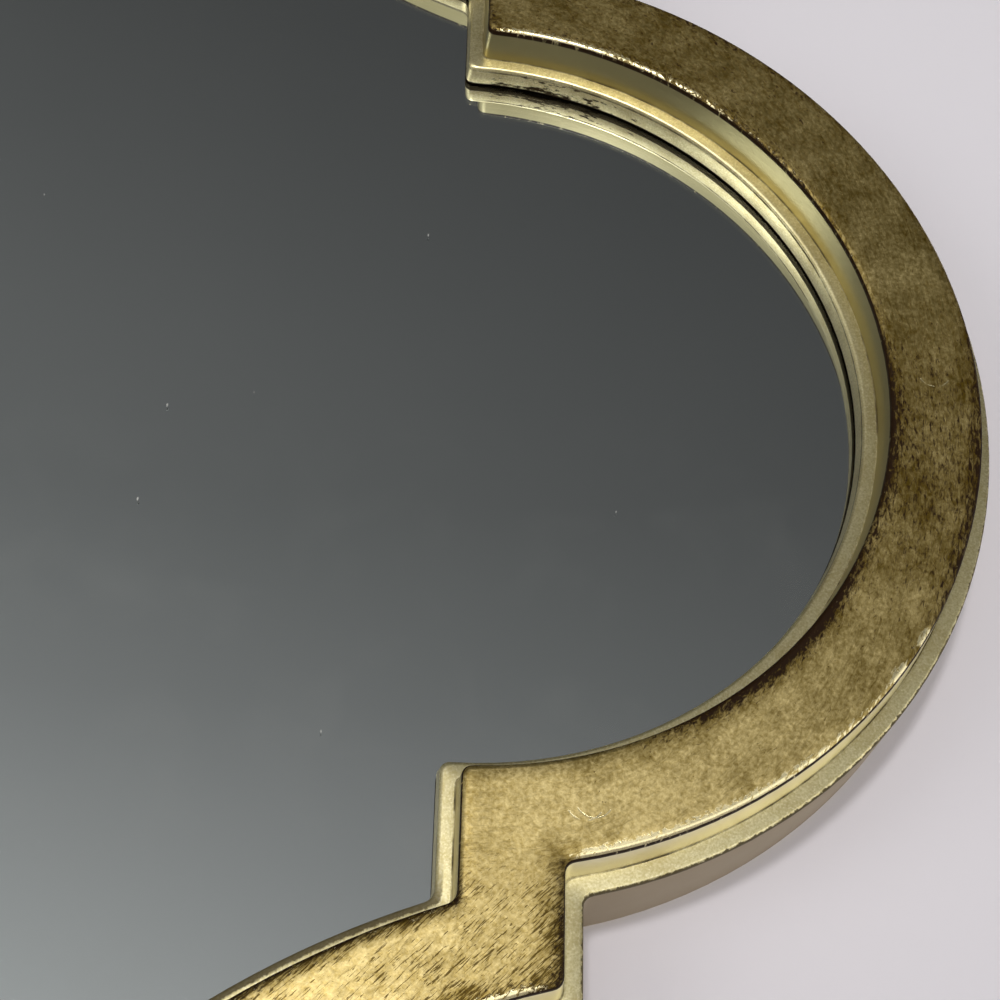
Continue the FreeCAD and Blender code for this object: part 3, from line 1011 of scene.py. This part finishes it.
def ragged_edges(m, place, across, height):
    """Amount of darkening along the outer edge and, beside each scoop, of painted dark reflection on the
    inner edge.
    """
    ragged = add(m, "TexNoise", {"Vector": place, "Scale": 1 / RAG_SIZE, "Detail": 3.0, "Roughness": 0.7})
    reach = add(m, "Math", [ragged, RAG_SIZE, across], operation="MULTIPLY_ADD")
    outer = add(m, "MapRange", [reach, OUTSIDE + 0.25 * MM, OUTSIDE + 0.5 * MM, 0.0, 0.9])
    # Painted dark reflection: along each scoop the rounded inner edge is darkened as the dark room would show
    # in it.
    inner = add(m, "MapRange", [reach, OPENING + 2.2 * MM, OPENING + 2.7 * MM, 0.85, 0.0])
    share = add(m, "Attribute", attribute_name="scoop_share").outputs["Fac"]
    inner = add(m, "Math", [inner, share], operation="MULTIPLY")
    edge_darkening = add(m, "Math", [outer, inner], operation="MAXIMUM")
    high = add(m, "Math", [height, UNDER_LEDGE - FOOT_LINE], operation="GREATER_THAN")
    return add(m, "Math", [edge_darkening, high], operation="MULTIPLY")


def wall_scuffs(m, place, across, height):
    """Amount of brown scuffs on the inner wall, most of them at one place and near the glass."""
    knock = add(m, "VectorMath", [place, KNOCK_PLACE], operation="DISTANCE")
    knock = add(m, "MapRange", [knock, *KNOCK_REACH, 0.2, 0.0])
    by_glass = add(m, "MapRange", [height, GLASS_FRONT, UNDER_LEDGE, 0.06, -0.08])
    knock = add(m, "Math", [knock, by_glass], operation="ADD")
    stretched = add(m, "VectorMath", [place, SCUFF_STRETCH], operation="MULTIPLY")
    scuffs = add(m, "TexNoise", {"Vector": stretched, "Scale": 1 / SCUFF_SIZE, "Detail": 4.0,
                                 "Roughness": 0.7})
    scuffs = add(m, "Math", [scuffs, knock], operation="ADD")
    scuffs = add(m, "MapRange", [scuffs, 0.68, 0.76])
    inside = add(m, "Math", [across, OPENING + 0.4 * LEDGE_ROUND], operation="LESS_THAN")
    return add(m, "Math", [scuffs, inside], operation="MULTIPLY")


print("lines under the ledges from", round(UNDER_LEDGE / MM, 1), "mm above the wall")

# %% [markdown]
# ## Satin gold spray
# The base was sprayed with metallic lacquer. It is paler and more even than the leaf, with a fine sparkle
# from its metal flakes and a little tarnish in soft clouds. The outer wall below the ledge is a dull taupe.
# The back was never sprayed, apart from a little mist at its outer edge. A smooth metal would
# look plated, so a fine noise breaks up both the colour and the relief.

# %% Satin gold spray
def satin_gold_spray():
    # A soft champagne sheen with tiny sparkles, thin lines of painted shade in its corners and a dull outer
    # wall.
    m, place = new_material("satin_gold_spray")
    across = add(m, "Attribute", attribute_name="across").outputs["Fac"]
    height = add(m, "Math", [add(m, "SeparateXYZ", [place]).outputs["Y"], -1.0], operation="MULTIPLY")
    # Real flakes are finer. These are as coarse as they need to be to show.
    sparkle = add(m, "TexNoise", {"Vector": place, "Scale": 1 / (0.5 * MM), "Detail": 2.0})
    cloudy = add(m, "TexNoise", {"Vector": place, "Scale": 1 / (9 * MM), "Detail": 4.0, "Roughness": 0.65})
    lines = corner_shade_lines(m, across, height, cloudy)
    for more in (ragged_edges(m, place, across, height), wall_scuffs(m, place, across, height)):
        lines = add(m, "Math", [lines, more], operation="MAXIMUM")
    # The outer wall, below the ledge.
    outside = add(m, "MapRange", [across, OUTSIDE - 0.3 * LEDGE_ROUND, OUTSIDE])
    low = add(m, "MapRange", [height, UNDER_LEDGE - 0.4 * MM, UNDER_LEDGE, 1.0, 0.0])
    dull = add(m, "Math", [outside, low], operation="MULTIPLY")
    # The raw back, as far as the mist reached.
    behind = add(m, "Math", [height, LAND + 0.1 * MM], operation="LESS_THAN")
    mist = add(m, "Math", [sparkle, 3 * MM, across], operation="MULTIPLY_ADD")
    clear = add(m, "Math", [mist, OUTSIDE - 0.2 * MM], operation="LESS_THAN")
    raw = add(m, "Math", [behind, clear], operation="MULTIPLY")
    fibre = add(m, "Mix", [cloudy, linear("#8d7454"), linear("#c0a681")], data_type="RGBA")
    tone = add(m, "MapRange", [sparkle, 0.3, 0.7])
    tarnish = add(m, "MapRange", [cloudy, 0.45, 0.72, 0.0, 0.45])
    flash = add(m, "MapRange", [sparkle, 0.6, 0.7, 0.0, 0.45])
    colour = add(m, "Mix", [tone, linear("#dacb92"), linear("#f5e9bb")], data_type="RGBA")
    # 3a2c14 paints the lines of painted shade, the dark edges with the painted dark reflection, and the
    # scuffs.
    coats = ((tarnish, linear("#a8935a")), (flash, linear("#fff4cc")), (dull, linear("#a89981")),
             (lines, linear("#3a2c14")), (raw, fibre))
    for amount, coat in coats:
        colour = add(m, "Mix", [amount, colour, coat], data_type="RGBA")
    metal = lines
    for covered in (dull, raw):
        metal = add(m, "Math", [metal, covered], operation="MAXIMUM")
    metal = add(m, "MapRange", [metal, 0.0, 1.0, 0.9, 0.1])
    rough = add(m, "MapRange", [cloudy, 0.3, 0.7, 0.58, 0.63])
    rough = add(m, "Math", [metal, -0.3, rough], operation="MULTIPLY_ADD")
    bump = add(m, "Bump", {"Height": sparkle, "Strength": 0.12, "Distance": 0.08 * MM})
    shader = add(m, "BsdfPrincipled", {"Base Color": colour, "Metallic": metal, "Roughness": rough,
                                       "Specular IOR Level": 0.12, "Normal": bump})
    add(m, "OutputMaterial", {"Surface": shader})
    return m


dress(base, satin_gold_spray())

# %% [markdown]
# ## Glass and silver
# The pane is clear float glass with specks of dust and faint smears from wiping. The specks are small
# cells, drawn as coarse as they need to be to show. A glass shader with a mirror behind it is slower than a
# mirror alone, but only it gives the dark line at the lip. The silver is a nearly perfect mirror.

# %% Glass and silver
SPECK_CELL = (10 * MM, 10 * MM, 22 * MM)    # each cell holds one speck or none
HAZE_PLACE = (0.264, -0.0243, -0.122)       # the corner of the right lobe's lower step
HAZE_REACH = (2 * MM, 15 * MM)
WIPE_FADE = 60 * MM     # the smears begin at the middle of the mirror and grow over this length downwards


def float_glass():
    # Clear, with a sharp reflection, a few specks of dust and faint smears from wiping.
    m, place = new_material("float_glass")
    scaled = add(m, "VectorMath", [place, [1 / size for size in SPECK_CELL]], operation="MULTIPLY")
    cells = add(m, "TexVoronoi", {"Vector": scaled, "Scale": 1.0})
    speck = add(m, "MapRange", [cells.outputs["Distance"], 0.014, 0.03, 0.8, 0.0])
    lot = add(m, "SeparateColor", [cells.outputs["Color"]])
    chosen = add(m, "Math", [lot, 0.3], operation="GREATER_THAN")
    dust = add(m, "Math", [speck, chosen], operation="MULTIPLY")
    # Smears in soft clouds, thicker where a cloth can't reach into the corner of a step.
    clouds = add(m, "TexNoise", {"Vector": place, "Scale": 1 / (26 * MM), "Detail": 4.0, "Roughness": 0.6,
                                 "Distortion": 0.6})
    corner = add(m, "VectorMath", [place, HAZE_PLACE], operation="DISTANCE")
    corner = add(m, "MapRange", [corner, *HAZE_REACH, 0.35, 0.0])
    smears = add(m, "Math", [clouds, corner], operation="ADD")
    wiped = add(m, "MapRange", [add(m, "SeparateXYZ", [place]).outputs["Z"], 0.0, -WIPE_FADE, 0.0, 0.05])
    smears = add(m, "MapRange", [smears, 0.5, 0.85, 0.0, wiped])
    dust = add(m, "Math", [dust, smears], operation="MAXIMUM")
    glass = add(m, "BsdfPrincipled", {"Base Color": linear("#fafcfb"), "Transmission Weight": 1.0,
                                      "IOR": 1.52, "Roughness": 0.0})
    dirt = add(m, "BsdfDiffuse", {"Color": linear("#c4c4be")})
    shader = add(m, "MixShader", [dust, glass, dirt])
    add(m, "OutputMaterial", {"Surface": shader})
    return m


def bright_silver():
    # A mirror, a shade darker than what it shows.
    m, place = new_material("bright_silver")
    wave = add(m, "TexNoise", {"Vector": place, "Scale": 1 / (60 * MM), "Detail": 2.0})
    colour = add(m, "Mix", [wave, linear("#eaeeef"), linear("#f1f4f5")], data_type="RGBA")
    shader = add(m, "BsdfPrincipled", {"Base Color": colour, "Metallic": 1.0, "Roughness": 0.015})
    add(m, "OutputMaterial", {"Surface": shader})
    return m


dress(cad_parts["mirror_pane"], float_glass())
dress(silver, bright_silver())

# %% [markdown]
# ## Finishes of the back
# The fittings are zinc-plated steel, which is bluish and slightly cloudy, and the screws are darker. The
# board is hardboard with the mark of the wire mesh it was pressed on, and a sheet of corrugated card lies
# between it and the glass. The mesh and the flutes are waves with the pitch of the real ones.

# %% Finishes of the back
MESH_PITCH = 1.6 * MM
FLUTE_PITCH = 6.0 * MM
WAVE_LENGTH = 0.314         # length of one wave of the texture at a scale of 1


def plated_steel(name, dark, light):
    # A cool grey shine with cloudy spots and a fine grain.
    m, place = new_material(name)
    cloud = add(m, "TexNoise", {"Vector": place, "Scale": 1 / (2.5 * MM), "Detail": 4.0, "Roughness": 0.6})
    fine = add(m, "TexNoise", {"Vector": place, "Scale": 1 / (0.3 * MM), "Detail": 1.0})
    tone = add(m, "MapRange", [cloud, 0.3, 0.7])
    colour = add(m, "Mix", [tone, linear(dark), linear(light)], data_type="RGBA")
    rough = add(m, "MapRange", [cloud, 0.3, 0.7, 0.42, 0.28])
    bump = add(m, "Bump", {"Height": fine, "Strength": 0.15, "Distance": 0.05 * MM})
    shader = add(m, "BsdfPrincipled", {"Base Color": colour, "Metallic": 0.95, "Roughness": rough,
                                       "Normal": bump})
    add(m, "OutputMaterial", {"Surface": shader})
    return m


def hardboard():
    # Dark brown and dull, with specks of fibre and a fine woven mark.
    m, place = new_material("hardboard")
    fibre = add(m, "TexNoise", {"Vector": place, "Scale": 1 / (3 * MM), "Detail": 6.0, "Roughness": 0.75})
    cloud = add(m, "TexNoise", {"Vector": place, "Scale": 1 / (70 * MM), "Detail": 3.0})
    wires = []
    for way in ("X", "Z"):
        wave = {"Vector": place, "Scale": WAVE_LENGTH / MESH_PITCH, "Distortion": 0.6}
        wires.append(add(m, "TexWave", wave, bands_direction=way).outputs["Fac"])
    mesh = add(m, "Math", wires, operation="MULTIPLY")
    tone = add(m, "Math", [cloud, 0.6, fibre], operation="MULTIPLY_ADD")
    tone = add(m, "Math", [mesh, -0.25, tone], operation="MULTIPLY_ADD")
    tone = add(m, "MapRange", [tone, 0.4, 1.1])
    colour = add(m, "Mix", [tone, linear("#4e3522"), linear("#94714a")], data_type="RGBA")
    bump = add(m, "Bump", {"Height": mesh, "Strength": 0.4, "Distance": 0.15 * MM})
    shader = add(m, "BsdfPrincipled", {"Base Color": colour, "Roughness": 0.8, "Normal": bump})
    add(m, "OutputMaterial", {"Surface": shader})
    return m


def corrugated_card():
    # Pale brown paper, with the shadow of its flutes.
    m, place = new_material("corrugated_card")
    flutes = add(m, "TexWave", {"Vector": place, "Scale": WAVE_LENGTH / FLUTE_PITCH, "Distortion": 0.3})
    pulp = add(m, "TexNoise", {"Vector": place, "Scale": 1 / (1.5 * MM), "Detail": 5.0})
    tone = add(m, "Math", [flutes.outputs["Fac"], 0.4, pulp], operation="MULTIPLY_ADD")
    colour = add(m, "Mix", [tone, linear("#8a6a44"), linear("#c2a278")], data_type="RGBA")
    shader = add(m, "BsdfPrincipled", {"Base Color": colour, "Roughness": 0.9})
    add(m, "OutputMaterial", {"Surface": shader})
    return m


zinc = plated_steel("zinc_plated_steel", "#a2a7ad", "#cdd2d6")
for piece in steel_pieces:
    dress(piece, zinc)
dark_steel = plated_steel("dark_screw_steel", "#6f6e6c", "#9a9894")
for piece in (turn_screws, strap_screws):
    dress(piece, dark_steel)
dress(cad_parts["backing_board"], hardboard())
dress(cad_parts["filler_sheet"], corrugated_card())

# %% [markdown]
# ## The stage
# A pale wall stands behind the mirror and a pale floor lies below it. The wall has an opening behind the
# frame, so that light from behind reaches the back. A plane has no thickness, so both can be clear from
# behind: a view from the back or from below still shows the mirror.

# %% Wall and floor
FLOOR = -0.75
WALL_SIZE = 6.0
FLOOR_SIZE = 2.4
WALL_BACK = 0.4 * MM
WALL_LAP = 1.0 * MM     # how far the wall comes in under the frame


def pale_paint(name, code):
    # Matt and nearly even, and clear from behind.
    m, place = new_material(name)
    grain = add(m, "TexNoise", {"Vector": place, "Scale": 4.0, "Detail": 3.0})
    shade = add(m, "MapRange", [grain, 0.0, 1.0, 0.97, 1.03])
    colour = add(m, "Mix", [1.0, linear(code), shade], data_type="RGBA", blend_type="MULTIPLY")
    paint = add(m, "BsdfDiffuse", {"Color": colour})
    behind = add(m, "NewGeometry").outputs["Backfacing"]
    shader = add(m, "MixShader", [behind, paint, add(m, "BsdfTransparent")])
    add(m, "OutputMaterial", {"Surface": shader})
    return m


def wall_sheet():
    wall = start_loop("wall", edge_line(OUTSIDE - WALL_LAP, -WALL_BACK))
    mesh = wall.data
    for index in extruded_loop(mesh, range(RING_POINTS)):
        spot = mesh.vertices[index].co
        grow = WALL_SIZE / 2 / max(abs(spot.x), abs(spot.z))
        spot.x *= grow
        spot.z *= grow
    bpy.ops.object.mode_set(mode="EDIT")
    bpy.ops.mesh.select_all(action="SELECT")
    bpy.ops.mesh.normals_make_consistent(inside=False)
    bpy.ops.object.mode_set(mode="OBJECT")
    if mesh.polygons[0].normal.y > 0:
        mesh.flip_normals()
    return wall


wall = wall_sheet()
dress(wall, pale_paint("pale_wall", "#eae5ea"))
bpy.ops.object.select_all(action="DESELECT")
bpy.ops.mesh.primitive_plane_add(size=FLOOR_SIZE, location=(0, 0, FLOOR))
floor = bpy.context.object
floor.name = "floor"
dress(floor, pale_paint("pale_floor", "#f0ece8"))

# %% [markdown]
# ## Lamps
# A small round lamp stands in front, a little to the left, and gives the worn edges their glints. A wide
# one further to the left fills the walls of the frame. A third stands behind and above, for the fittings on
# the back. A lamp could shine all ways, but then the floor would throw its light back, so each one has a
# limited spread.

# %% Lamps
MIDDLE = Vector((LOBE_AT, 0, 0))
LAMP_SPREAD = 110       # degrees, as behind a honeycomb grid, so that the floor stays quiet


def soft_lamp(name, bearing, rise, distance, size, watts):
    """A round lamp that looks at the right lobe. Bearing is to the right of straight ahead, in degrees."""
    side, up = math.radians(bearing), math.radians(rise)
    way = Vector((math.sin(side) * math.cos(up), -math.cos(side) * math.cos(up), math.sin(up)))
    bpy.ops.object.light_add(type="AREA", location=MIDDLE + way * distance)
    lamp = bpy.context.object
    lamp.name = name
    lamp.rotation_euler = way.to_track_quat("Z", "Y").to_euler()
    lamp.data.shape = "DISK"
    lamp.data.size = size
    lamp.data.energy = watts
    lamp.data.spread = math.radians(LAMP_SPREAD)
    print(name, "gives", watts, "W over", size, "m")


soft_lamp("front_lamp", -8, -3, 1.8, 0.16, 3.0)
soft_lamp("left_lamp", -44, -8, 1.7, 0.8, 1.2)
soft_lamp("back_lamp", 160, 25, 2.2, 1.35, 9.2)

# %% [markdown]
# ## The room
# A mirror is as bright as what it shows, and this one looks up into a room that is dark overhead and pale
# near the horizon. The room could be built, but its brightness is all that the mirror and the gold show of
# it. So the world is a ramp of greys from the floor to the ceiling. Above the horizon the left of the room
# is the brighter side.

# %% Room
# Brightness of the room by the sine of the rise above the horizon.
ROOM_GREYS = ((-0.6, 0.2), (-0.5, 1.15), (-0.3, 1.45), (-0.1, 1.35), (0.05, 0.68), (0.2, 0.31), (0.275, 0.24),
              (0.36, 0.165), (0.46, 0.112), (0.53, 0.098), (0.67, 0.062), (0.8, 0.055))
BELOW_GREY, ABOVE_GREY = 0.10, 0.055    # straight down and straight up


def room_colour(grey):
    """A grey with a trace of green, as glass gives it."""
    return grey, grey * 1.01, grey, 1


def room_light():
    world = bpy.data.worlds.new("room")
    world.use_nodes = True
    world.node_tree.nodes.clear()
    way = add(world, "SeparateXYZ", [add(world, "TexCoord").outputs["Generated"]])
    to_right, upwards = way.outputs["X"], way.outputs["Z"]
    ramp = add(world, "ValToRGB", [add(world, "MapRange", [upwards, -1.0, 1.0])])
    stops = ramp.color_ramp.elements
    for stop, grey in zip(stops, (BELOW_GREY, ABOVE_GREY)):
        stop.color = room_colour(grey)
    for sine, grey in ROOM_GREYS:
        stops.new((sine + 1) / 2).color = room_colour(grey)
    high_side = add(world, "MapRange", [to_right, -0.3, 0.3, 1.36, 0.64])
    low_side = add(world, "MapRange", [to_right, -0.5, 0.1, 0.55, 1.0])
    above = add(world, "MapRange", [upwards, -0.1, 0.15])
    side = add(world, "Mix", [above, low_side, high_side], data_type="FLOAT")
    room = add(world, "Background", {"Color": ramp, "Strength": side})
    add(world, "OutputWorld", {"Surface": room})
    print("greys in the room:", len(stops))
    return world


bpy.context.scene.world = room_light()
bpy.context.scene.view_settings.view_transform = "Standard"

# %% [markdown]
# ## Camera
# The picture was taken from below and to the right of the middle, close to the right lobe, looking up. The
# place, the turn and the lens were worked out together, until the edges of the lobe and its two steps lay
# on those in the picture.

# %% Camera
CAMERA_PLACE = (0.24429, -0.43760, -0.24814)
CAMERA_TURN = (117.6375, -1.3949, -5.5707)
LENS = 66.31            # mm, on a sensor 36 mm wide
SENSOR = 36.0
bpy.ops.object.camera_add(location=CAMERA_PLACE, rotation=Euler([math.radians(a) for a in CAMERA_TURN]))
camera = bpy.context.object
camera.name = "photo_camera"
camera.data.sensor_width = SENSOR
camera.data.lens = LENS
bpy.context.scene.camera = camera
print("camera to the right lobe:", round((camera.location - MIDDLE).length, 2), "m")
